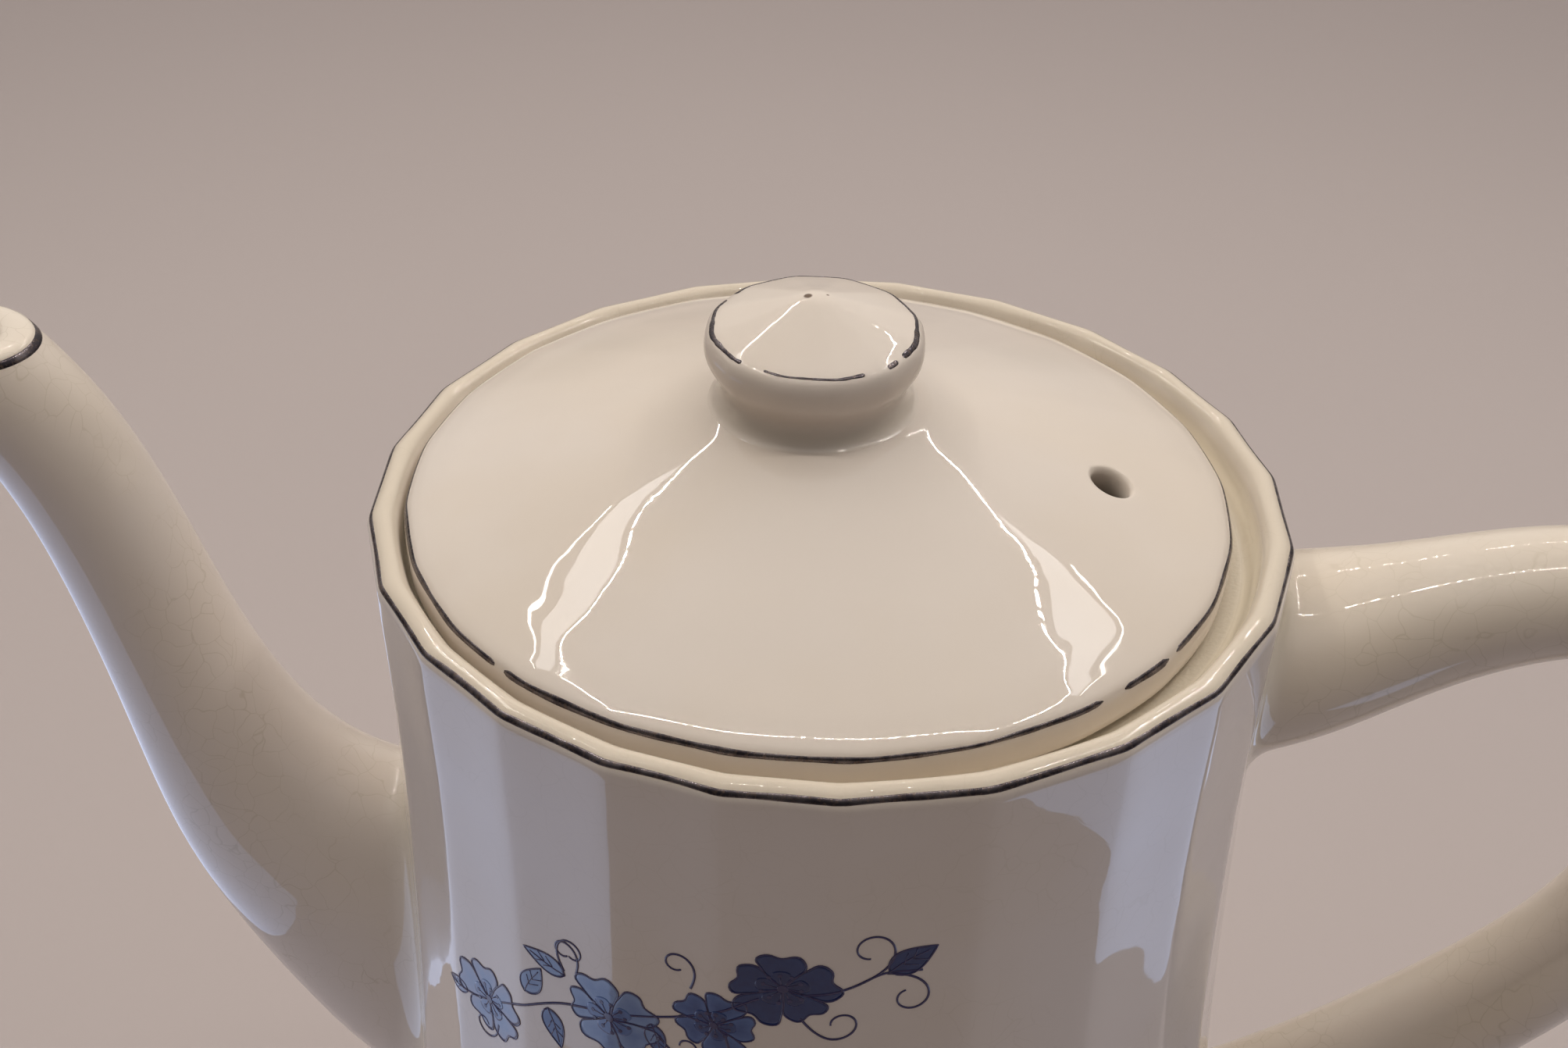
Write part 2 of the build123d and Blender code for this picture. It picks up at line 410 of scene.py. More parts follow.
class Tube:
    """A smooth elliptical tube along stations in the plane y = 0."""

    def __init__(self, stations):
        self.stations = np.array(stations, float)
        chords = np.hypot(*np.diff(self.stations[:, :2], axis=0).T)
        self.knots = np.concatenate([[0], np.cumsum(chords)])
        self.length = self.knots[-1]
        self.curvature = natural_curvature(self.knots, self.stations)

    def value(self, t):
        """Station values at distances t, by a natural cubic spline."""
        t = np.clip(np.asarray(t, float), 0, self.length)
        index = np.clip(np.searchsorted(self.knots, t) - 1, 0, len(self.knots) - 2)
        low, high = self.knots[index], self.knots[index + 1]
        step = high - low
        a = ((high - t) / step)[..., None]
        b = ((t - low) / step)[..., None]
        bend = (a**3 - a) * self.curvature[index] + (b**3 - b) * self.curvature[index + 1]
        straight = a * self.stations[index] + b * self.stations[index + 1]
        return straight + bend * (step**2)[..., None] / 6

    def frame(self, t):
        """Centres and in-plane normals."""
        here = self.value(t)
        ahead, behind = self.value(t + 0.05), self.value(t - 0.05)
        along = ahead[..., :2] - behind[..., :2]
        along /= np.linalg.norm(along, axis=-1, keepdims=True)
        return here, np.stack([-along[..., 1], along[..., 0]], axis=-1)

    def points(self, t, phi, wall=0.0):
        """Points of the outside, or of a surface inside it by a wall."""
        here, normal = self.frame(t)
        deep = (here[..., 2] - wall) * np.cos(phi)
        wide = (here[..., 3] - wall) * np.sin(phi)
        x = here[..., 0] + deep * normal[..., 0]
        z = here[..., 1] + deep * normal[..., 1]
        return np.stack([x, wide + 0 * x, z], axis=-1)

    def outward(self, t, phi):
        """Directions away from the tube's middle, square to its outside."""
        here, normal = self.frame(t)
        deep = here[..., 3] * np.cos(phi)
        wide = here[..., 2] * np.sin(phi)
        direction = np.stack([deep * normal[..., 0], wide, deep * normal[..., 1]], axis=-1)
        return direction / np.linalg.norm(direction, axis=-1, keepdims=True)


def natural_curvature(knots, values):
    """Second derivatives at the knots of a natural cubic spline."""
    count = len(knots)
    steps = np.diff(knots)
    matrix = np.eye(count)
    right = np.zeros_like(values)
    for i in range(1, count - 1):
        matrix[i, i - 1] = steps[i - 1]
        matrix[i, i] = 2 * (steps[i - 1] + steps[i])
        matrix[i, i + 1] = steps[i]
        ahead = (values[i + 1] - values[i]) / steps[i]
        behind = (values[i] - values[i - 1]) / steps[i - 1]
        right[i] = 6 * (ahead - behind)
    return np.linalg.solve(matrix, right)


def clearance(points):
    """How far points stand off the body's wall."""
    theta = np.arctan2(points[..., 1], points[..., 0])
    return np.hypot(points[..., 0], points[..., 1]) - wall_radius(theta, points[..., 2])


def onto_wall(points, gap):
    """The same points, moved straight out or in to stand off the wall by a gap."""
    theta = np.arctan2(points[..., 1], points[..., 0])
    reach = wall_radius(theta, points[..., 2]) + gap
    return np.stack([reach * np.cos(theta), reach * np.sin(theta), points[..., 2]], axis=-1)


def leaving(tube, phi, gap, from_end=False):
    """Where each line along the tube comes out of the wall by a gap."""
    share = np.linspace(0, 0.45, 900) * tube.length
    t = tube.length - share if from_end else share
    gaps = clearance(tube.points(t[:, None], phi[None, :]))
    inside = gaps < gap
    last = inside.shape[0] - 1 - np.argmax(inside[::-1], axis=0)
    column = np.arange(len(phi))
    low, high = gaps[last, column], gaps[last + 1, column]
    part = (gap - low) / (high - low)
    return t[last] + part * (t[last + 1] - t[last])


def root_rows(tube, phi, fillet, from_end=False):
    """Rows of a root that flares on to the wall, from inside it outwards, and their values for pooled
    glaze and painted bounce light.
    """
    rows, pools_and_bounce_light = [], []
    angles = np.radians([0, 12, 24, 36, 50, 64, 78, 90])
    for angle in np.concatenate([[-1], angles]):
        gap = 0.0 if angle < 0 else fillet * (1 - cos(angle))
        flare = fillet + SUNK if angle < 0 else fillet * (1 - sin(angle))
        t = leaving(tube, phi, max(gap, 0.02), from_end)
        base = tube.points(t, phi)
        theta = np.arctan2(base[:, 1], base[:, 0])
        away = np.stack([np.cos(theta), np.sin(theta), 0 * theta], axis=-1)
        normal = tube.outward(t, phi)
        sideways = normal - (normal * away).sum(axis=-1, keepdims=True) * away
        sideways /= np.linalg.norm(sideways, axis=-1, keepdims=True)
        rows.append(onto_wall(base + flare * sideways, -SUNK if angle < 0 else gap))
        pools_and_bounce_light.append(np.full(len(phi), min(1.0, flare / fillet)))
    return rows, pools_and_bounce_light, leaving(tube, phi, fillet, from_end)


def spread(first, last, count):
    """Values from first to last for each column, without the two ends."""
    shares = np.linspace(0, 1, count + 2)[1:-1, None]
    return first + shares * (last - first)


def crossing_height(tube, phi, height, wall):
    """Where each line along the tube, at a depth below its outside, reaches a height near the tip."""
    t = np.linspace(0.6, 1.0, 800) * tube.length
    thickness = wall_at(t / tube.length)[:, None] if wall else 0.0
    z = tube.points(t[:, None], phi[None, :], thickness)[..., 2]
    first = np.argmax(z > height, axis=0)
    column = np.arange(len(phi))
    low, high = z[first - 1, column], z[first, column]
    return t[first - 1] + (height - low) / (high - low) * (t[first] - t[first - 1])


def wall_at(share):
    return SPOUT_ROOT_WALL + share * (SPOUT_TIP_WALL - SPOUT_ROOT_WALL)


def make_spout(material):
    """Spout as one closed surface: outside, rounded mouth and the channel back to the wall."""
    tube = Tube(SPOUT_STATIONS)
    phi = np.linspace(0, 2 * pi, AROUND, endpoint=False)
    rows, pools_and_bounce_light, t_root = root_rows(tube, phi, SPOUT_FILLET)
    mouth = box_mm("spout")[1].z
    lip = MOUTH_ROUNDING
    t_outer = crossing_height(tube, phi, mouth - lip, False)
    t_inner = crossing_height(tube, phi, mouth - lip, True)
    even = 0.2 * tube.length * np.ones_like(phi) + 0.5 * t_root
    for t in np.vstack([spread(t_root, even + 8, 8), spread(even + 8, t_outer, 60)]):
        rows.append(tube.points(t, phi))
        pools_and_bounce_light.append(np.zeros(len(phi)))
    outer = tube.points(t_outer, phi)
    inner = tube.points(t_inner, phi, wall_at(t_inner / tube.length))
    for angle in np.radians([0, 20, 45, 70, 90, 110, 135, 160, 180]):
        row = (outer + inner) / 2 + cos(angle) * (outer - inner) / 2
        row[:, 2] = mouth - lip + lip * sin(angle)
        rows.append(row)
        pools_and_bounce_light.append(np.full(len(phi), 0.25))
    t_wall = leaving(tube, phi, 0.0)
    for t in spread(t_inner, t_wall, 30):
        rows.append(tube.points(t, phi, wall_at(t / tube.length)))
        pools_and_bounce_light.append(np.full(len(phi), 0.6))
    end = tube.points(t_wall, phi, wall_at(t_wall / tube.length))
    rows.append(onto_wall(end, -SUNK))
    pools_and_bounce_light.append(np.full(len(phi), 0.6))
    faces = [face[::-1] for face in band_faces(len(rows), AROUND, close_rows=True)]
    # pooled glaze and painted bounce light at the root, the mouth and in the channel
    values = {"pool_and_bounce_light": np.concatenate(pools_and_bounce_light)}
    points = np.concatenate(rows)
    piece = new_mesh("spout_shell", points, faces, "pot", material, values)
    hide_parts("spout")
    return tube, phi, mouth


def make_handle(material):
    """Handle as one closed bar with flared roots."""
    tube = Tube(HANDLE_STATIONS)
    phi = np.linspace(0, 2 * pi, AROUND, endpoint=False)
    top_rows, top_pools_and_bounce_light, t_top = root_rows(tube, phi, HANDLE_FILLET)
    low_rows, low_pools_and_bounce_light, t_low = root_rows(tube, phi, HANDLE_FILLET, from_end=True)
    middle = [tube.points(t, phi) for t in spread(t_top, t_low, 110)]
    rows = top_rows + middle + low_rows[::-1]
    pools_and_bounce_light = top_pools_and_bounce_light + [np.zeros(len(phi))] * len(middle) + low_pools_and_bounce_light[::-1]
    points = np.concatenate(rows)
    faces = [face[::-1] for face in band_faces(len(rows), AROUND)]
    ends = [points[:AROUND].mean(axis=0), points[-AROUND:].mean(axis=0)]
    ends = [onto_wall(end, -2.0) for end in ends]
    count = len(points)
    last = count - AROUND
    for column in range(AROUND):
        beside = (column + 1) % AROUND
        faces.append((count, column, beside))
        faces.append((count + 1, last + beside, last + column))
    # pooled glaze and painted bounce light at the roots
    values = {"pool_and_bounce_light": np.concatenate(pools_and_bounce_light + [[1.0, 1.0]])}
    points = np.vstack([points, ends])
    piece = new_mesh("handle_bar", points, faces, "pot", material, values)
    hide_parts("handle")


# ---------------------------------------------------------------- body, lid and knob


def body_surface():
    """Rows of the body: underside, foot, wall, lip, gallery, ledge, inside and floor."""
    floor = cad_hit("pot_body", (0, 0, RIM / 2), (0, 0, -1)).z
    foot_outer = radius_at("pot_body", 1.5)
    foot_inner = radius_at("pot_body", 1.5, inside=True)
    gallery = radius_at("pot_body", RIM - GALLERY_DROP / 2, inside=True)
    ledge_inner = radius_at("pot_body", LEDGE - 2, inside=True)
    base = radius_at("pot_body", 3.1)
    corner = radius_at("pot_body", RIM - 0.05)

    rows = [(0, 3.2, 0), (20, 3.2, 0)]
    hollow = [(-3, 3.15, 0), (-1, 2.8, 0), (-0.1, 1.8, 0), (0.2, 0.6, 0), (0.9, 0.05, 0), (1.8, 0, 0)]
    rows += placed(hollow, foot_inner, 0)
    ring = [(-1.2, 0, 0), (-0.4, 0.4, 0), (0, 1.5, 0), (0.3, 2.6, 0), (1.2, 3.2, 0.2)]
    rows += placed(ring, foot_outer, 0)
    rows += placed([(-1.2, 3.5, 0.7), (-0.1, 4.2, 1)], base, 0)
    for height in np.linspace(6, RIM - 1.2, 62):
        rows.append((radius_at("pot_body", height), height, 1))
    lip = [(0, -0.45, 1), (-0.12, 0.05, 1), (-0.42, 0.5, 1), (-0.9, 0.9, 0.98), (-1.6, 1.18, 0.9)]
    rows += placed(lip + [(-2.3, 1.1, 0.75), (-2.85, 0.75, 0.55)], corner, RIM)
    rows += placed([(0.2, 0.1, 0.3), (-0.02, -0.8, 0.1)], gallery, RIM)
    seat = [(-0.25, 1.5, 0), (-0.75, 0.65, 0), (-1.4, 0.15, 0), (-2.1, 0, 0)]
    rows += placed(seat, gallery, LEDGE)
    under = [(0.8, 0, 0), (0.15, -0.3, 0), (0, -1, 0), (0, -3.6, 0), (0.4, -4.8, 0)]
    rows += placed(under, ledge_inner, LEDGE)
    for height in [*np.linspace(LEDGE - 9.5, floor + 12, 24), floor + 9, floor + 5]:
        rows.append((radius_at("pot_body", height, inside=True), height, 0))
    rows += placed([(-2.2, 2, 0), (-5.5, 0.3, 0), (-9, 0, 0)], rows[-1][0], floor)
    rows += [(14, floor, 0), (0, floor, 0)]
    return Body(smooth_rows(rows, 3.0), PANELS, RIDGE_ROUNDING)


def bump(value, centre, width):
    """A soft peak from 0 to 1."""
    return np.exp(-(((value - centre) / width) ** 2))


def body_pool_and_bounce_light(points):
    """Where the body's glaze is thick and lightened by painted bounce light: the gallery, the foot and
    the corner of the floor.
    """
    radius = np.hypot(points[:, 0], points[:, 1])
    height = points[:, 2]
    inside = (radius < 46.8) & (height > 20)
    gallery = np.where(inside, bump(height, RIM - 2.6, 2.6), 0)
    lip = np.where(height > RIM + 0.2, 0.35, 0)
    foot = np.where(height < 3.4, 0.8, 0)
    hollow = np.where((radius < 46) & (height < RIM - 5), 0.4, 0)
    return np.clip(gallery + lip + foot + hollow, 0, 1)


def body_lip_painted_shade(points):
    """Where painted shade darkens the body: the top of the lip."""
    radius = np.hypot(points[:, 0], points[:, 1])
    return np.where((points[:, 2] > RIM + 0.1) & (radius > 44), 1.0, 0.0)


def body_bare(points):
    """Where the body's clay is unglazed: the foot ring's underside and the ledge."""
    radius = np.hypot(points[:, 0], points[:, 1])
    foot = (points[:, 2] < 0.12) & (radius > 40)
    ledge = (np.abs(points[:, 2] - LEDGE) < 0.1) & (radius < 44) & (radius > 40)
    return np.where(foot | ledge, 1.0, 0.0)


def make_body(material):
    surface = body_surface()
    attributes = {"pool_and_bounce_light": body_pool_and_bounce_light, "bare": body_bare, "lip_painted_shade": body_lip_painted_shade}
    piece = turned_piece("pot_shell", surface, "pot", material, attributes)
    hole = [(36, POUR_HOLE_RADIUS), (52, POUR_HOLE_RADIUS)]
    cut(piece, *cutter_along((-1, 0, 0), (0, 0, POUR_HOLE_HEIGHT), hole))
    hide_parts("pot_body")
    return surface


def lid_edge_radius():
    """Radius of the corners of the lid's edge, whose box touches its panels."""
    low, high = box_mm("lid")
    return (high.y - low.y) / 2 / cos(pi / PANELS)


def lid_surface(centre):
    """Rows of the lid: underside, locating flange, seat, edge and shallow cone."""
    low, high = box_mm("lid")
    edge = lid_edge_radius() - 0.12
    crown = high.z
    hollow = [(0, -4, 0), (11.6, -4.1, 0), (20, -7.1, 0), (29, -10.4, 0), (33.5, -12.1, 0)]
    rows = placed(hollow + [(35.2, -13.3, 0), (FLANGE_INSIDE, -15.5, 0)], 0, crown)
    rows += [(FLANGE_INSIDE, LID_SEAT - 6, 0)]
    rows += placed([(0, 1.2, 0), (0.6, 0.2, 0), (1.6, 0, 0)], FLANGE_INSIDE, low.z)
    rows += placed([(-0.6, 0.3, 0), (0, 1.3, 0)], FLANGE_RADIUS, low.z)
    rows += placed([(0, -6, 0), (0, -0.8, 0), (0.6, 0, 0)], FLANGE_RADIUS, LID_SEAT)
    under_edge = [(-1.6, 0, 0.1), (-0.7, 0.2, 0.2), (-0.25, 0.9, 0.3), (-0.05, 1.8, 0.4)]
    rows += placed(under_edge, edge, LID_SEAT)
    rounding = [(0, -0.2, 0.5), (-0.03, 0.5, 0.5), (-0.2, 1.15, 0.5), (-0.5, 1.55, 0.5)]
    rows += placed(rounding + [(-1.0, 1.9, 0.5), (-2.1, 2.35, 0.5)], edge, RIM)
    cone = [(40, 3.05, 0.5), (37, 4.15, 0.5), (33, 5.62, 0.5), (28, 7.4, 0.4), (23, 9.1, 0.25)]
    cone += [(18.5, 10.62, 0.1), (15, 11.8, 0), (12.6, 12.62, 0), (11.7, 12.92, 0), (11.15, 13.07, 0)]
    rows += placed(cone + [(10.6, 13.12, 0), (9.8, 13.2, 0)], 0, RIM)
    rows += [(8.5, crown, 0), (0, crown, 0)]
    return Turned(smooth_rows(rows, 1.2), PANELS, LID_ROUNDING, centre)


def lid_bare(points):
    """Where the lid's clay is unglazed: the underside of the edge, which stood on the kiln shelf."""
    return np.where((np.abs(points[:, 2] - LID_SEAT) < 0.1), 1.0, 0.0)


def lid_pool_and_bounce_light(points):
    """Thick glaze under the lid, lightened by painted bounce light."""
    return np.where(points[:, 2] < RIM - 3, 0.6, 0.0)


def make_lid(material, centre):
    surface = lid_surface(centre)
    attributes = {"pool_and_bounce_light": lid_pool_and_bounce_light, "bare": lid_bare}
    piece = turned_piece("lid_shell", surface, "lid", material, attributes)
    away = Vector((cos(VENT_AZIMUTH), sin(VENT_AZIMUTH), 0))
    vent_top = np.interp(-VENT_REACH, -surface.rows[-60:, 0], surface.rows[-60:, 1])
    place = Vector((*centre, vent_top)) + VENT_REACH * away
    hole = [(-9, 2.15), (-0.9, 2.15), (-0.55, 2.2), (-0.3, 2.32), (-0.12, 2.5), (0.0, 2.75)]
    hole += [(0.05, 2.95), (2, 3.6)]
    upright = Vector((0, 0, 1))
    slope = upright * cos(CONE_SLOPE) + away * sin(CONE_SLOPE)
    cut(piece, *cutter_along(slope, place, hole, 56))
    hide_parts("lid")
    return surface


class Knob(Turned):
    """The knob, whose foot follows the top of the lid."""

    def __init__(self, rows, centre, lid, base):
        super().__init__(rows, KNOB_PANELS, KNOB_ROUNDING, centre)
        self.lid_centre = lid.centre
        self.lid_top = lid.rows[np.argmax(lid.rows[:, 0]):][::-1]
        self.base = base

    def points(self, theta, radius, height, share):
        points = super().points(theta, radius, height, share)
        reach = np.hypot(points[..., 0] - self.lid_centre[0], points[..., 1] - self.lid_centre[1])
        lid_height = np.interp(reach, self.lid_top[:, 0], self.lid_top[:, 1])
        foot = np.clip(1 - (height - self.base) / KNOB_FOOT, 0, 1)
        points[..., 2] += foot * (lid_height - self.base)
        return points


def knob_surface(centre, lid):
    """Rows of the knob: sunk base, flare that runs out on the lid, waist, edge and low faceted cone."""
    low, high = box_mm("lid_knob")
    base, top = low.z, high.z
    widest = (high.x - low.x) / 2
    foot = [(0, -0.9, 0), (10.7, -0.9, 0), (11.2, -0.4, 0), (11.1, -0.07, 0), (10.9, 0, 0)]
    foot += [(10.65, 0.06, 0), (10.4, 0.2, 0), (10.2, 0.42, 0), (9.95, 0.8, 0), (9.75, 1.35, 0)]
    waist = [(9.7, 2.0, 0.05), (9.95, 2.8, 0.1), (10.5, 3.7, 0.2), (11.05, 4.7, 0.3)]
    rows = placed(foot + waist, 0, base)
    edge = [(-0.08, 5.7, 0.4), (0, 6.6, 0.45), (-0.15, 7.4, 0.5), (-0.5, 8.0, 0.6), (-1.15, 8.4, 0.75)]
    rows += placed(edge, widest, base)
    rows += placed([(9.3, 8.8, 0.85), (7.4, 9.5, 0.9), (5.0, 10.35, 0.8), (2.6, 11.2, 0.5)], 0, base)
    rows += [(1.1, top - 0.12, 0.2), (0, top, 0)]
    return Knob(smooth_rows(rows, 0.6), centre, lid, base)


def knob_pool_and_bounce_light(points):
    """Glaze gathered round the foot of the knob, lightened by painted bounce light."""
    base = box_mm("lid_knob")[0].z
    return 0.3 * bump(points[:, 2], base + 0.9, 1.0)


def make_knob(material, centre, lid):
    surface = knob_surface(centre, lid)
    piece = turned_piece("knob_shell", surface, "lid", material, {"pool_and_bounce_light": knob_pool_and_bounce_light})
    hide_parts("lid_knob")
    return surface


# ---------------------------------------------------------------- metallic lines


def shown_runs(shown):
    """Runs of neighbouring columns that are shown, going round once from a hidden one."""
    start = int(np.argmax(~shown)) if not shown.all() else 0
    runs, run = [], []
    for step in range(len(shown)):
        index = (start + step) % len(shown)
        if shown[index]:
            run.append(index)
        elif run:
            runs.append(run)
            run = []
    if run:
        runs.append(run)
    return [run for run in runs if len(run) >= 3]


def ribbon(name, surface, middle, width, body, material):
    """A thin band round a turned surface. middle and width are functions of the azimuth, and it breaks
    where the width falls to nothing."""
    theta = np.linspace(0, 2 * pi, 720, endpoint=False)
    half = width(theta) / 2
    points, faces = [], []
    across = np.array([-1.0, -0.8, -0.3, 0.3, 0.8, 1.0])
    lifts = np.array([-0.6, 0.7, 1.0, 1.0, 0.7, -0.6]) * LINE_LIFT
    ring = len(across) + 1
    for run in shown_runs(half > 0.04):
        first = len(points)
        for angle, spread_half in zip(theta[run], half[run]):
            centre = float(middle(angle))
            angles = np.full(len(across), angle)
            top = surface.at(angles, centre + across * spread_half, 0.0)
            normal = surface.at(angles, centre + across * spread_half, 1.0) - top
            points.extend(top + normal * lifts[:, None])
            points.extend(surface.at(np.array([angle]), np.array([centre]), -1.5 * LINE_LIFT))
        closed = len(run) == len(theta)
        count = len(run)
        for step in range(count if closed else count - 1):
            here = first + step * ring
            there = first + ((step + 1) % count) * ring
            for side in range(ring):
                beside = (side + 1) % ring
                faces.append((here + side, there + side, there + beside, here + beside))
        if not closed:
            faces.append(tuple(first + side for side in range(ring)))
            faces.append(tuple(first + (count - 1) * ring + side for side in reversed(range(ring))))
    return new_mesh(name, np.array(points), faces, body, material)


def wear(theta, seed, depth):
    """Uneven width of a hand-painted and worn line, from 1 down."""
    total = np.zeros_like(np.asarray(theta, float))
    for index, rate in enumerate((2, 5, 9, 17, 31, 47)):
        total += np.sin(rate * theta + seed * (index + 1) * 1.7) / (1 + 0.35 * index)
    return 1 - depth * (0.5 + 0.25 * total)


def gap(theta, azimuth, width):
    """0 at a worn gap, 1 away from it."""
    off = np.abs(off_azimuth(theta, azimuth))
    return np.clip((off - radians(width) / 2) / radians(1.2), 0, 1)


def make_rim_line(surface, material):
    corner = radius_at("pot_body", RIM - 0.05)
    edge = surface.nearest(corner - 0.35, RIM + 0.42)
    ribbon(
        "rim_line",
        surface,
        lambda theta: edge + 0.06 * np.sin(5 * theta) + 0.05 * np.sin(13 * theta + 1),
        lambda theta: 0.85 * wear(theta, 1.1, 0.35),
        "pot",
        material,
    )


def make_lid_line(surface, material):
    place = surface.nearest(lid_edge_radius() - 0.25, RIM + 1.0)

    def width(theta):
        worn = wear(theta, 2.3, 0.45)
        for azimuth, size in ((-47, 3.5), (-35, 1.6), (228, 1.0), (100, 2.0)):
            worn = worn * gap(theta, azimuth, size)
        return 0.95 * worn

    def middle(theta):
        return place + 0.07 * np.sin(7 * theta + 2)

    ribbon("lid_line", surface, middle, width, "lid", material)


def make_knob_line(surface, material):
    low, high = box_mm("lid_knob")
    widest = (high.x - low.x) / 2
    place = surface.nearest(widest - 0.7, low.z + 8.1)

    def width(theta):
        front = bump(off_azimuth(theta, -92), 0.0, radians(30))
        worn = wear(theta, 3.7, 0.45) * (1 - 0.65 * front)
        for azimuth, size in ((-124, 14), (-52, 14), (-33, 5), (150, 8)):
            worn = worn * gap(theta, azimuth, size)
        return 0.75 * worn

    def middle(theta):
        return place + 0.08 * np.sin(3 * theta + 1)

    ribbon("knob_line", surface, middle, width, "lid", material)


def make_mouth_line(tube, phi, mouth, material):
    """Metallic line round the outside of the spout's mouth."""
    rows = []
    width = 0.8
    section = [(0, -0.6), (0.1, 0.7), (0.35, 1), (0.65, 1), (0.9, 0.7), (1.0, -0.6), (0.5, -1.5)]
    for share, lift in section:
        depth = (share - 0.1) * width * (1 + 0.15 * np.sin(3 * phi)) + 0.1
        t = crossing_height(tube, phi, mouth - MOUTH_ROUNDING - depth.mean(), False)
        point = tube.points(t, phi) + lift * LINE_LIFT * tube.outward(t, phi)
        rows.append(point)
    faces = [face[::-1] for face in band_faces(len(rows), len(phi), close_rows=True)]
    new_mesh("mouth_line", np.concatenate(rows), faces, "pot", material)


# ---------------------------------------------------------------- printed decoration


class Ink:
    """Collects thin closed patches of print on the wall. Places are (millimetres round, height)."""

    def __init__(self, azimuth):
        self.azimuth = radians(azimuth)
        self.points = []
        self.faces = []
        self.tones = []

    def place(self, flat, lift):
        flat = np.asarray(flat, float)
        theta = self.azimuth + flat[:, 0] / SPRAY_RADIUS
        reach = wall_radius(theta, flat[:, 1]) + lift
        return np.stack([reach * np.cos(theta), reach * np.sin(theta), flat[:, 1]], axis=-1)

    def patch(self, centre, outline, inner_tone, outer_tone, lift=INK_LIFT):
        """A filled shape: rings from its centre out to its outline, and an underside."""
        outline = np.asarray(outline, float)
        centre = np.asarray(centre, float)
        sides = len(outline)
        shares = (0.3, 0.6, 0.85, 1.0)
        rings = [centre + share * (outline - centre) for share in shares]
        flat = np.vstack([[centre]] + rings)
        start = len(self.points)
        self.points.extend(self.place(flat, lift))
        self.points.extend(self.place(np.vstack([outline, [centre]]), -INK_LIFT))
        for share in (0.0,) + shares:
            tone = inner_tone + (outer_tone - inner_tone) * share**1.5
            self.tones.extend([tone] * (1 if share == 0 else sides))
        self.tones.extend([outer_tone] * (sides + 1))
        low = start + 1 + sides * len(shares)
        for side in range(sides):
            beside = (side + 1) % sides
            self.faces.append((start, start + 1 + side, start + 1 + beside))
            for ring in range(len(shares) - 1):
                here = start + 1 + ring * sides
                there = here + sides
                self.faces.append((here + side, there + side, there + beside, here + beside))
            edge = start + 1 + (len(shares) - 1) * sides
            self.faces.append((edge + side, low + side, low + beside, edge + beside))
            self.faces.append((low + sides, low + beside, low + side))

    def stroke(self, path, widths, tone, lift=INK_LIFT + 0.02):
        """A drawn line with a width at each point."""
        path = np.asarray(path, float)
        widths = np.broadcast_to(np.asarray(widths, float), (len(path),))
        along = np.gradient(path, axis=0)
        along /= np.maximum(np.linalg.norm(along, axis=1, keepdims=True), 1e-9)
        side = np.stack([-along[:, 1], along[:, 0]], axis=-1) * widths[:, None] / 2
        start = len(self.points)
        sections = [
            self.place(path + side, lift),
            self.place(path - side, lift),
            self.place(path - side, -INK_LIFT),
            self.place(path + side, -INK_LIFT),
        ]
        self.points.extend(np.stack(sections, axis=1).reshape(-1, 3))
        self.tones.extend([tone] * (4 * len(path)))
        for step in range(len(path) - 1):
            here = start + 4 * step
            for corner in range(4):
                beside = (corner + 1) % 4
                there = here + 4
                self.faces.append((here + corner, here + beside, there + beside, there + corner))
        self.faces.append((start + 3, start + 2, start + 1, start))
        last = start + 4 * (len(path) - 1)
        self.faces.append((last, last + 1, last + 2, last + 3))

    def finish(self, name, material):
        points = np.array(self.points)
        return new_mesh(name, points, self.faces, "pot", material, {"tone": self.tones})


def turned_flat(points, angle, centre):
    """Flat points turned by an angle in degrees and moved to a centre."""
    points = np.asarray(points, float)
    c, s = cos(radians(angle)), sin(radians(angle))
    return points @ np.array([[c, s], [-s, c]]) + np.asarray(centre, float)


def petal_outline(length, width, notch):
    """A heart-tipped petal that grows along +X from its base at the origin."""
    steps = np.linspace(0, 2 * pi, 40, endpoint=False)
    reach = 0.5 * (1 - np.cos(steps))
    x = length * reach**0.8 * (1 - notch * np.exp(-(((steps - pi) / 0.32) ** 2)))
    y = 0.5 * width * np.sin(steps) * (0.35 + 0.95 * reach)
    y *= 1 + 0.05 * np.sin(5 * steps)
    return np.stack([x, -y], axis=-1)


def leaf_outline(length, width):
    """A pointed leaf along +X."""
    x = np.linspace(0, 1, 16)
    half = 0.5 * width * np.sin(pi * x**0.75) ** 0.9 * (1 - 0.25 * x)
    lower = np.stack([length * x, -half], axis=-1)
    upper = np.stack([length * x[-2:0:-1], half[-2:0:-1]], axis=-1)
    return np.vstack([lower, upper])


def curl(start, heading, length, turn, tightening=1.9):
    """A tendril that starts straight and winds up: heading and turn in degrees."""
    steps = 70
    share = np.linspace(0, 1, steps)
    angle = radians(heading) + radians(turn) * share**tightening
    step = length / steps
    offsets = np.stack([np.cos(angle), np.sin(angle)], axis=-1) * step
    return np.asarray(start, float) + np.cumsum(offsets, axis=0)


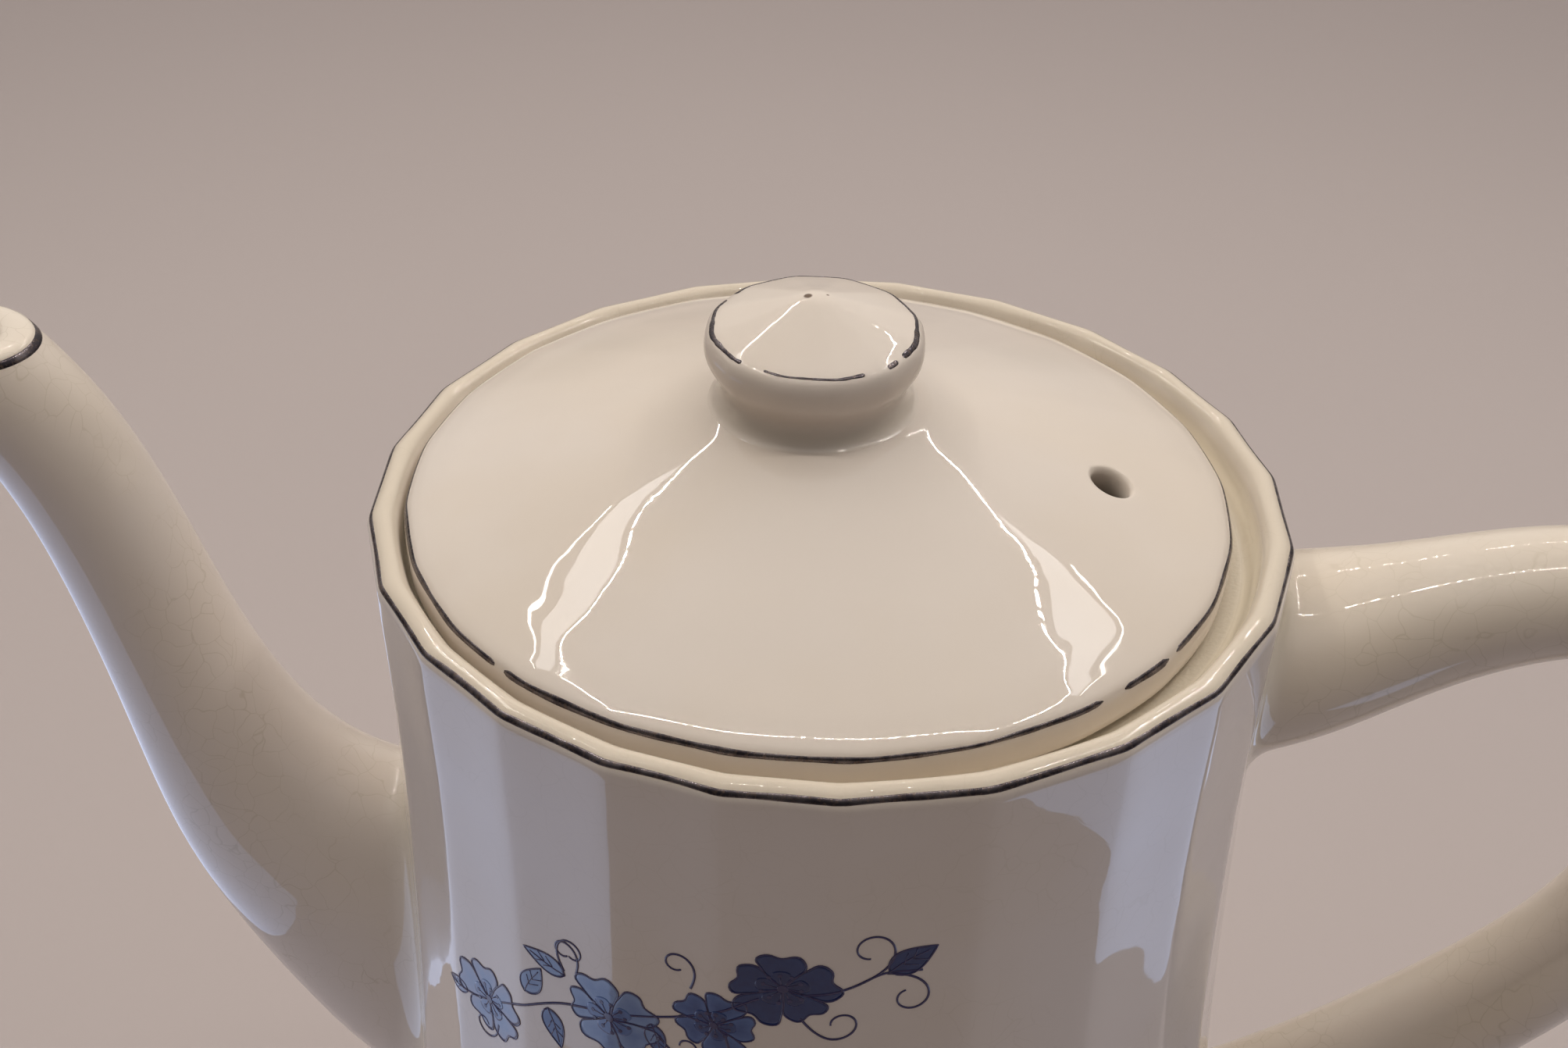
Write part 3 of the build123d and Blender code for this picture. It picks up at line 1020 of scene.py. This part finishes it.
def blossom(fill, line, centre, size, turn, tones, squeeze):
    """Heart-tipped petals with outlines, and stamens that end in dots."""
    rim_tone, heart_tone = tones

    def put(points, angle):
        return turned_flat(points, angle, (0, 0)) * (1, squeeze) + centre

    for index in range(PETALS):
        angle = turn + index * 360 / PETALS
        vary = 1 + 0.09 * sin(2.3 * index + turn)
        shape = put(petal_outline(size * 0.54 * vary, size * 0.52 * vary, 0.14), angle)
        middle = put([(size * 0.3, 0)], angle)[0]
        fill.patch(middle, shape, 0.5 * (rim_tone + heart_tone), rim_tone, INK_LIFT + 0.004 * index)
        heart = put(petal_outline(size * 0.27, size * 0.2, 0.0), angle)
        inner = put([(size * 0.12, 0)], angle)[0]
        fill.patch(inner, heart, heart_tone, 0.7 * heart_tone + 0.3 * rim_tone, INK_LIFT + 0.022)
        closed = np.vstack([shape, shape[:2]])
        line.stroke(smooth_rows(closed, 0.4), 0.17, 0.0, INK_LIFT + 0.034)
    stamens = 2 * PETALS + 1
    for index in range(stamens):
        angle = turn + 12 + index * 360 / stamens
        length = size * (0.2 + 0.05 * sin(3.1 * index))
        ray = put([(0.3, 0), (length * 0.5, 0.05), (length, 0)], angle)
        line.stroke(ray, (0.16, 0.12, 0.12), 0.0, INK_LIFT + 0.045)
        dot = put([(length, 0)], angle)[0]
        line.patch(dot, circle(dot, 0.24), 0.0, 0.0, INK_LIFT + 0.05)
    line.patch(centre, circle(centre, size * 0.055), 0.0, 0.0, INK_LIFT + 0.05)


def circle(centre, radius, sides=12):
    angle = np.linspace(0, 2 * pi, sides, endpoint=False)
    return np.asarray(centre, float) + radius * np.stack([np.cos(angle), np.sin(angle)], axis=-1)


def leaf(fill, line, base, length, width, turn, tone):
    """A leaf with an outline, a middle vein and side veins."""
    shape = turned_flat(leaf_outline(length, width), turn, base)
    middle = turned_flat([(length * 0.45, 0)], turn, base)[0]
    fill.patch(middle, shape, tone * 0.8, tone)
    line.stroke(np.vstack([shape, shape[:1]]), 0.17, 0.0, INK_LIFT + 0.03)
    vein = turned_flat([(0, 0), (length * 0.3, 0.06 * width), (length * 0.85, 0)], turn, base)
    line.stroke(smooth_rows(vein), 0.13, 0.0, INK_LIFT + 0.034)
    for share in (0.3, 0.5):
        for side in (-1, 1):
            tip = (length * (share + 0.2), side * width * 0.28)
            rib = turned_flat([(length * share, 0), tip], turn, base)
            line.stroke(rib, (0.11, 0.08), 0.0, INK_LIFT + 0.034)


def spray(name, azimuth, materials):
    """One spray of blossoms that hangs down to the left from its upper right end."""
    fill = Ink(azimuth)
    line = Ink(azimuth)
    dark, mid, light, pale = 0.12, 0.42, 0.72, 0.9
    stems = [
        [(2.0, 140.0), (6.5, 141.3), (9.8, 142.9), (13.5, 143.0)],
        [(-2.5, 139.0), (-6.5, 136.6), (-11.0, 134.2), (-18.5, 132.0)],
        [(-18.5, 132.0), (-25.0, 129.5), (-30.5, 126.0), (-36.0, 122.4)],
        [(-6.5, 136.6), (-5.0, 128.0), (-7.5, 117.0), (-13.5, 108.5)],
        [(-13.5, 108.5), (-17.5, 101.0), (-18.5, 92.0), (-16.0, 82.5)],
        [(-7.5, 117.0), (0.5, 112.5), (5.0, 105.5), (6.5, 98.0)],
    ]
    for stem in stems:
        path = smooth_rows(stem)
        line.stroke(path, np.linspace(0.32, 0.24, len(path)), 0.0)
    tendrils = [
        ((7.0, 141.5), 28, 14.0, 330), ((9.8, 142.9), -8, 12.5, -330),
        ((-9.5, 138.6), 70, 9.5, 330), ((1.5, 137.0), -55, 12.0, 330),
        ((-24.0, 134.5), 118, 10.0, -330), ((-22.5, 135.0), 75, 8.5, 330),
        ((-13.0, 131.0), -60, 9.0, 330), ((-34.5, 120.0), -100, 9.0, -330),
        ((-8.5, 115.5), 200, 11.0, -330), ((5.0, 106.0), -20, 11.0, -320),
        ((-17.8, 99.0), 180, 10.0, 330), ((-18.2, 90.0), -20, 11.0, 340),
    ]
    for start, heading, length, turn in tendrils:
        path = curl(start, heading, length, turn)
        line.stroke(path, np.linspace(0.28, 0.2, len(path)), 0.0)
    leaves = [
        ((10.2, 143.0), 5.6, 3.6, 35, dark), ((-24.0, 134.0), 5.4, 2.8, 165, light),
        ((-29.5, 128.8), 5.0, 3.0, 62, light), ((-40.0, 121.0), 4.0, 2.0, 190, pale),
        ((-26.5, 128.0), 5.2, 3.0, -72, mid), ((-13.8, 132.2), 4.6, 2.4, -75, mid),
        ((-5.6, 127.0), 5.8, 3.2, 18, mid), ((-10.8, 111.5), 5.4, 3.2, -20, dark),
        ((-15.5, 104.5), 5.2, 2.9, 196, light), ((-18.2, 95.0), 5.4, 3.0, 10, mid),
        ((2.2, 110.5), 5.0, 2.8, 48, light), ((-16.4, 83.0), 5.6, 3.0, -70, mid),
        ((6.2, 97.8), 5.0, 2.8, -85, mid),
    ]
    for base, length, width, turn, tone in leaves:
        leaf(fill, line, base, length, width, turn, tone)
    blossoms = [
        ((-0.2, 140.6), 10.4, 20, (dark, 0.02), 0.88), ((-7.0, 134.6), 8.6, 70, (mid, 0.1), 0.9),
        ((-18.4, 131.4), 10.6, 38, (light, 0.35), 0.88), ((-36.0, 122.6), 9.8, 100, (pale, 0.5), 0.95),
        ((-13.4, 107.8), 9.8, 10, (mid, 0.12), 0.92), ((6.2, 100.0), 8.8, 50, (light, 0.35), 0.92),
        ((-16.2, 84.5), 9.2, 80, (dark, 0.02), 0.92),
    ]
    for centre, size, turn, tones, squeeze in blossoms:
        blossom(fill, line, np.array(centre), size, turn, tones, squeeze)
    line.finish(name + "_drawing", materials["ink"])
    fill.finish(name + "_colours", materials["petal"])


# ---------------------------------------------------------------- materials


class Nodes:
    """Short names for making shader nodes."""

    def __init__(self, name):
        self.material = bpy.data.materials.new(name)
        self.material.use_nodes = True
        self.tree = self.material.node_tree
        self.shader = self.tree.nodes["Principled BSDF"]

    def add(self, kind, **settings):
        node = self.tree.nodes.new("ShaderNode" + kind)
        for key, value in settings.items():
            setattr(node, key, value)
        return node

    def link(self, output, socket):
        self.tree.links.new(output, socket)

    def math(self, operation, first, second=0.0, clamp=False):
        node = self.add("Math", operation=operation, use_clamp=clamp)
        for index, value in enumerate((first, second)):
            if isinstance(value, bpy.types.NodeSocket):
                self.link(value, node.inputs[index])
            else:
                node.inputs[index].default_value = value
        return node.outputs[0]

    def noise(self, scale, detail=2.0, vector=None):
        node = self.add("TexNoise")
        node.inputs["Scale"].default_value = scale
        node.inputs["Detail"].default_value = detail
        if vector is not None:
            self.link(vector, node.inputs["Vector"])
        return node

    def between(self, value, low, high):
        """Value mapped smoothly from low..high to 0..1."""
        node = self.add("MapRange", interpolation_type="SMOOTHSTEP")
        self.link(value, node.inputs["Value"])
        node.inputs["From Min"].default_value = low
        node.inputs["From Max"].default_value = high
        return node.outputs["Result"]

    def mix(self, factor, first, second):
        node = self.add("Mix", data_type="RGBA")
        if isinstance(factor, bpy.types.NodeSocket):
            self.link(factor, node.inputs["Factor"])
        else:
            node.inputs["Factor"].default_value = factor
        for socket, colour in ((node.inputs["A"], first), (node.inputs["B"], second)):
            if isinstance(colour, bpy.types.NodeSocket):
                self.link(colour, socket)
            else:
                socket.default_value = (*colour, 1)
        return node.outputs["Result"]

    def attribute(self, name):
        return self.add("Attribute", attribute_name=name).outputs["Fac"]

    def set(self, **values):
        for key, value in values.items():
            self.shader.inputs[key.replace("_", " ")].default_value = value


def position(nodes):
    """Object coordinates in millimetres."""
    mapping = nodes.add("Mapping")
    mapping.inputs["Scale"].default_value = (1 / MM, 1 / MM, 1 / MM)
    nodes.link(nodes.add("TexCoord").outputs["Object"], mapping.inputs["Vector"])
    return mapping.outputs["Vector"]


def crazing_lines(nodes, place, cell, strength):
    """Patches of fine bent cracks, from 0 to strength. cell is the spacing in millimetres."""
    bend = nodes.noise(0.16, 2.0, place)
    offset = nodes.add("VectorMath", operation="MULTIPLY_ADD")
    nodes.link(bend.outputs["Color"], offset.inputs[0])
    offset.inputs[1].default_value = (5.0, 5.0, 5.0)
    nodes.link(place, offset.inputs[2])
    cracks = nodes.add("TexVoronoi", feature="DISTANCE_TO_EDGE")
    cracks.inputs["Scale"].default_value = 1.0 / cell
    nodes.link(offset.outputs["Vector"], cracks.inputs["Vector"])
    crack = nodes.math("SUBTRACT", 1.0, nodes.between(cracks.outputs["Distance"], 0.0, 0.028))
    patchy = nodes.between(nodes.noise(0.07, 2.0, place).outputs["Fac"], 0.38, 0.62)
    return nodes.math("MULTIPLY", nodes.math("MULTIPLY", crack, patchy), strength)


def scattered_specks(nodes, place, share):
    """Small dark specks in a share of the cells of a coarse grid."""
    dots = nodes.add("TexVoronoi", feature="F1")
    dots.inputs["Scale"].default_value = 0.085
    nodes.link(place, dots.inputs["Vector"])
    chance = nodes.add("SeparateColor")
    nodes.link(dots.outputs["Color"], chance.inputs["Color"])
    chosen = nodes.math("GREATER_THAN", chance.outputs["Red"], 1.0 - share)
    size = nodes.math("ADD", nodes.math("MULTIPLY", chance.outputs["Green"], 0.022), 0.008)
    return nodes.math("MULTIPLY", chosen, nodes.math("LESS_THAN", dots.outputs["Distance"], size))


def pinholes(nodes, place, marks, colour):
    """Brown pinholes at chosen places: ((x, y, z), radius)."""
    for centre, radius in marks:
        away = nodes.add("VectorMath", operation="DISTANCE")
        nodes.link(place, away.inputs[0])
        away.inputs[1].default_value = centre
        spot = nodes.math("SUBTRACT", 1.0, nodes.between(away.outputs["Value"], 0.6 * radius, radius))
        colour = nodes.mix(spot, colour, PINHOLE_BROWN)
    return colour


def relief(nodes, height):
    """Turns a height in millimetres into a bumpy surface."""
    bump_node = nodes.add("Bump")
    bump_node.inputs["Strength"].default_value = 1.0
    bump_node.inputs["Distance"].default_value = MM
    nodes.link(height, bump_node.inputs["Height"])
    nodes.link(bump_node.outputs["Normal"], nodes.shader.inputs["Normal"])


def glaze(name, base, crazing, cell, specks, seed, uneven, marks=()):
    """Clear glaze on cream clay: drifting tone, pooled glaze lightened by painted bounce light, painted
    shade on the lip, specks, pinholes and fine crazing.
    """
    nodes = Nodes(name)
    unshifted = position(nodes)
    shifted = nodes.add("VectorMath", operation="ADD")
    nodes.link(unshifted, shifted.inputs[0])
    shifted.inputs[1].default_value = (seed * 37.0, seed * 11.0, seed * 23.0)
    place = shifted.outputs["Vector"]

    drift = nodes.between(nodes.noise(0.035, 3.0, place).outputs["Fac"], 0.3, 0.7)
    warm = tuple(channel * factor for channel, factor in zip(base, (0.975, 0.955, 0.915)))
    colour = nodes.mix(drift, base, warm)
    # pooled glaze, partly real yellowing and partly painted bounce light that lightens the hollows
    pooled_and_bounce_light = nodes.math("MULTIPLY", nodes.attribute("pool_and_bounce_light"), 0.85)
    colour = nodes.mix(pooled_and_bounce_light, colour, POOLED_GLAZE_AND_BOUNCE_LIGHT)
    # painted shade on the top of the lip
    colour = nodes.mix(nodes.attribute("lip_painted_shade"), colour, LIP_PAINTED_SHADE)
    crack = crazing_lines(nodes, place, cell, crazing)
    colour = nodes.mix(crack, colour, CRACK_BROWN)
    colour = nodes.mix(scattered_specks(nodes, place, specks), colour, SPECK_BROWN)
    colour = pinholes(nodes, unshifted, marks, colour)
    bare = nodes.attribute("bare")
    grain = nodes.noise(2.2, 3.0, place).outputs["Fac"]
    colour = nodes.mix(bare, colour, nodes.mix(grain, *BARE_CLAY))
    nodes.link(colour, nodes.shader.inputs["Base Color"])

    smear = nodes.between(nodes.noise(0.11, 3.0, place).outputs["Fac"], 0.35, 0.75)
    rough = nodes.math("ADD", nodes.math("MULTIPLY", smear, 0.02), 0.012)
    rough = nodes.math("ADD", rough, nodes.math("MULTIPLY", crack, 0.15))
    rough = nodes.math("ADD", rough, nodes.math("MULTIPLY", bare, 0.55), clamp=True)
    nodes.link(rough, nodes.shader.inputs["Roughness"])

    swell = nodes.math("MULTIPLY", nodes.noise(0.05, 1.0, place).outputs["Fac"], uneven)
    ripple = nodes.math("MULTIPLY", nodes.noise(0.25, 1.0, place).outputs["Fac"], 0.012)
    height = nodes.math("ADD", swell, ripple)
    height = nodes.math("SUBTRACT", height, nodes.math("MULTIPLY", crack, 0.004))
    rough_clay = nodes.math("MULTIPLY", nodes.math("MULTIPLY", grain, bare), 0.05)
    relief(nodes, nodes.math("ADD", height, rough_clay))
    nodes.set(IOR=1.52)
    return nodes.material


def metal_line():
    """Tarnished platinum: dark where thick, brownish where thin."""
    nodes = Nodes("tarnished_platinum")
    place = position(nodes)
    tarnish = nodes.between(nodes.noise(0.5, 3.0, place).outputs["Fac"], 0.35, 0.65)
    fine = nodes.between(nodes.noise(3.0, 2.0, place).outputs["Fac"], 0.45, 0.75)
    colour = nodes.mix(tarnish, (0.05, 0.042, 0.052), (0.16, 0.14, 0.15))
    colour = nodes.mix(nodes.math("MULTIPLY", fine, 0.5), colour, (0.17, 0.115, 0.08))
    nodes.link(colour, nodes.shader.inputs["Base Color"])
    rough = nodes.math("ADD", nodes.math("MULTIPLY", fine, 0.2), 0.2)
    nodes.link(rough, nodes.shader.inputs["Roughness"])
    nodes.set(Metallic=0.75)
    return nodes.material


def ink_material():
    """Dark outlines, slightly uneven."""
    nodes = Nodes("transfer_drawing")
    place = position(nodes)
    uneven = nodes.noise(1.4, 2.0, place).outputs["Fac"]
    colour = nodes.mix(uneven, (0.022, 0.016, 0.075), (0.055, 0.05, 0.16))
    nodes.link(colour, nodes.shader.inputs["Base Color"])
    rough = nodes.math("ADD", nodes.math("MULTIPLY", uneven, 0.08), 0.06)
    nodes.link(rough, nodes.shader.inputs["Roughness"])
    return nodes.material


def fill_ramp(ramp, stops):
    """Gives a colour ramp its stops: (place, colour)."""
    elements = ramp.color_ramp.elements
    while len(elements) < len(stops):
        elements.new(0.5)
    for element, (place, colour) in zip(elements, stops):
        element.position = place
        element.color = (*colour, 1)


def petal_material():
    """Blue print whose depth comes from each petal's tone, with washed streaks."""
    nodes = Nodes("transfer_blue")
    place = position(nodes)
    wash = nodes.noise(0.9, 4.0, place).outputs["Fac"]
    tone = nodes.math("ADD", nodes.attribute("tone"), nodes.math("MULTIPLY", wash, 0.16))
    tone = nodes.math("SUBTRACT", tone, 0.08, clamp=True)
    ramp = nodes.add("ValToRGB")
    stops = [(0.0, (0.012, 0.02, 0.10)), (0.2, (0.022, 0.055, 0.20)), (0.45, (0.095, 0.17, 0.40))]
    fill_ramp(ramp, stops + [(0.72, (0.23, 0.33, 0.56)), (0.92, (0.33, 0.36, 0.52))])
    nodes.link(tone, ramp.inputs["Fac"])
    nodes.link(ramp.outputs["Color"], nodes.shader.inputs["Base Color"])
    rough = nodes.math("ADD", nodes.math("MULTIPLY", wash, 0.06), 0.05)
    nodes.link(rough, nodes.shader.inputs["Roughness"])
    return nodes.material


def floor_material():
    """Pale matt floor with a slow drift of tone, darkened far from the pot as painted shade."""
    nodes = Nodes("pale_floor")
    place = position(nodes)
    drift = nodes.noise(0.004, 2.0, place).outputs["Fac"]
    colour = nodes.mix(drift, (0.49, 0.43, 0.42), (0.52, 0.46, 0.45))
    away = nodes.add("VectorMath", operation="LENGTH")
    nodes.link(place, away.inputs[0])
    # painted shade: the floor turns darker from 330 to 700 mm away from the origin
    far_painted_shade = nodes.between(away.outputs["Value"], 330, 700)
    colour = nodes.mix(far_painted_shade, colour, (0.42, 0.365, 0.36))
    nodes.link(colour, nodes.shader.inputs["Base Color"])
    nodes.set(Roughness=0.85)
    return nodes.material


# ---------------------------------------------------------------- scene


def make_floor():
    size = 3.0
    mesh = bpy.data.meshes.new("floor")
    corners = [(-size, -size, 0), (size, -size, 0), (size, size, 0), (-size, size, 0)]
    mesh.from_pydata(corners, [], [(0, 1, 2, 3)])
    mesh.materials.append(floor_material())
    floor = bpy.data.objects.new("floor", mesh)
    bpy.context.scene.collection.objects.link(floor)


def world_light():
    """Soft light from above and behind, dim from the front."""
    world = bpy.data.worlds.new("soft_room")
    bpy.context.scene.world = world
    world.use_nodes = True
    tree = world.node_tree
    background = tree.nodes["Background"]
    direction = tree.nodes.new("ShaderNodeTexCoord")
    split = tree.nodes.new("ShaderNodeSeparateXYZ")
    tree.links.new(direction.outputs["Generated"], split.inputs["Vector"])
    back = tree.nodes.new("ShaderNodeMath")
    back.operation = "MULTIPLY_ADD"
    tree.links.new(split.outputs["Y"], back.inputs[0])
    back.inputs[1].default_value = 0.45
    tree.links.new(split.outputs["Z"], back.inputs[2])
    ramp = tree.nodes.new("ShaderNodeValToRGB")
    ramp.color_ramp.interpolation = "EASE"
    stops = [(0.0, (0.04, 0.036, 0.035)), (0.25, (0.085, 0.076, 0.072)), (0.8, (0.72, 0.675, 0.63))]
    fill_ramp(ramp, stops)
    tree.links.new(back.outputs[0], ramp.inputs["Fac"])
    tree.links.new(ramp.outputs["Color"], background.inputs["Color"])
    background.inputs["Strength"].default_value = 1.0


def area_light(name, centre, size, facing, radiance, colour):
    """A rectangular light given by how bright its face looks, 1 being white."""
    light = bpy.data.lights.new(name, "AREA")
    light.shape = "RECTANGLE"
    light.size, light.size_y = size[0] * MM, size[1] * MM
    light.energy = radiance * pi * size[0] * size[1] * MM * MM
    light.color = colour
    lamp = bpy.data.objects.new(name, light)
    lamp.location = Vector(centre) * MM
    lamp.rotation_euler = (-Vector(facing)).to_track_quat("Z", "Y").to_euler()
    lamp.visible_camera = False
    bpy.context.scene.collection.objects.link(lamp)
    return lamp


def dotted(lamp, length):
    """Breaks a strip's light into a row of small lamps along its length in millimetres."""
    light = lamp.data
    light.use_nodes = True
    tree = light.node_tree
    split = tree.nodes.new("ShaderNodeSeparateXYZ")
    tree.links.new(tree.nodes.new("ShaderNodeNewGeometry").outputs["Parametric"], split.inputs[0])
    count = round(length / LED_PITCH)
    values = split.outputs["X" if light.size > light.size_y else "Y"]
    steps = [("MULTIPLY", count), ("FRACT", 0), ("LESS_THAN", LED_SHARE), ("MULTIPLY", 1 / LED_SHARE)]
    for operation, number in steps:
        node = tree.nodes.new("ShaderNodeMath")
        node.operation = operation
        node.inputs[1].default_value = number
        tree.links.new(values, node.inputs[0])
        values = node.outputs[0]
    tree.links.new(values, tree.nodes["Emission"].inputs["Strength"])


def make_lights():
    """A rectangle of light strips overhead, reflectors beside it and low cool panels at the sides."""
    down, up = (0, 0, -1), (0, 0, 1)
    middle = (LIGHTS_FRONT + LIGHTS_BACK) / 2
    long_y = LIGHTS_BACK - LIGHTS_FRONT
    long_x = 2 * LIGHTS_HALF
    for name, y in (("strip_front", LIGHTS_FRONT), ("strip_back", LIGHTS_BACK)):
        place = (0, y, LIGHTS_TOP)
        dotted(area_light(name, place, (long_x, STRIP), down, STRIP_RADIANCE, WARM), long_x)
    for name, side in (("left", -1), ("right", 1)):
        place = (side * LIGHTS_HALF, middle, LIGHTS_TOP)
        dotted(area_light("strip_" + name, place, (STRIP, long_y), down, STRIP_RADIANCE, WARM), long_y)
        place = (side * OUTER_STRIP_X, SIDE_LAMPS_Y, LIGHTS_TOP)
        area_light("outer_" + name, place, (3, 225), down, 30, WARM)
        place = (side * REFLECTOR_X, SIDE_LAMPS_Y, LIGHTS_TOP + 5)
        area_light("reflector_" + name, place, (35, 215), down, 4.0, NEAR_WHITE)
    area_light("panel_left", (-280, 20, 3), (300, 330), up, 0.95, COOL)
    area_light("panel_right", (280, -30, 3), (230, 230), up, 1.2, COOL)


def make_camera():
    """Camera at the height of a seated viewer's eyes, close to the pot and a little rolled."""
    azimuth_offset = radians(1.29)
    elevation = radians(34.138)
    roll = radians(2.066)
    yaw = radians(-1.094)
    pitch = radians(0.526)
    distance = 255.0
    turn = Matrix.Rotation(azimuth_offset, 3, "Z")
    right = turn @ Vector((1, 0, 0))
    back = turn @ Vector((0, -cos(elevation), sin(elevation)))
    up = back.cross(right)
    rows = Matrix((right, up, back))
    rolled = Matrix(((cos(roll), sin(roll), 0), (-sin(roll), cos(roll), 0), (0, 0, 1)))
    aim = rolled @ Matrix.Rotation(pitch, 3, "X") @ Matrix.Rotation(yaw, 3, "Y") @ rows
    data = bpy.data.cameras.new("camera")
    data.lens = 54.95
    data.sensor_width = 36.0
    data.clip_start = 0.01
    camera = bpy.data.objects.new("camera", data)
    place = (Vector((0, 0, RIM)) + back * distance) * MM
    camera.matrix_world = Matrix.Translation(place) @ aim.transposed().to_4x4()
    bpy.context.scene.collection.objects.link(camera)
    bpy.context.scene.camera = camera


def build():
    body_glaze = glaze("glaze_body", CREAM, 0.10, 3.4, 0.05, 1, 0.4)
    spout_glaze = glaze("glaze_spout", (0.78, 0.705, 0.64), 0.3, 2.6, 0.10, 2, 0.3)
    handle_glaze = glaze("glaze_handle", (0.76, 0.68, 0.59), 0.3, 3.0, 0.16, 3, 0.3)
    lid_glaze = glaze("glaze_lid", LID_CREAM, 0.0, 4.0, 0.06, 4, 0.35)
    knob_glaze = glaze("glaze_knob", LID_CREAM, 0.0, 4.0, 0.06, 4, 0.12, KNOB_MARKS)
    metal = metal_line()
    inks = {"ink": ink_material(), "petal": petal_material()}

    body = make_body(body_glaze)
    tube, phi, mouth = make_spout(spout_glaze)
    make_handle(handle_glaze)
    lid = make_lid(lid_glaze, centre_of("lid"))
    knob = make_knob(knob_glaze, centre_of("lid_knob"), lid)

    make_rim_line(body, metal)
    make_lid_line(lid, metal)
    make_knob_line(knob, metal)
    make_mouth_line(tube, phi, mouth, metal)
    spray("spray_front", -92.0, inks)
    spray("spray_back", 88.0, inks)


build()
make_floor()
world_light()
make_lights()
make_camera()
bpy.context.scene.view_settings.view_transform = "Standard"
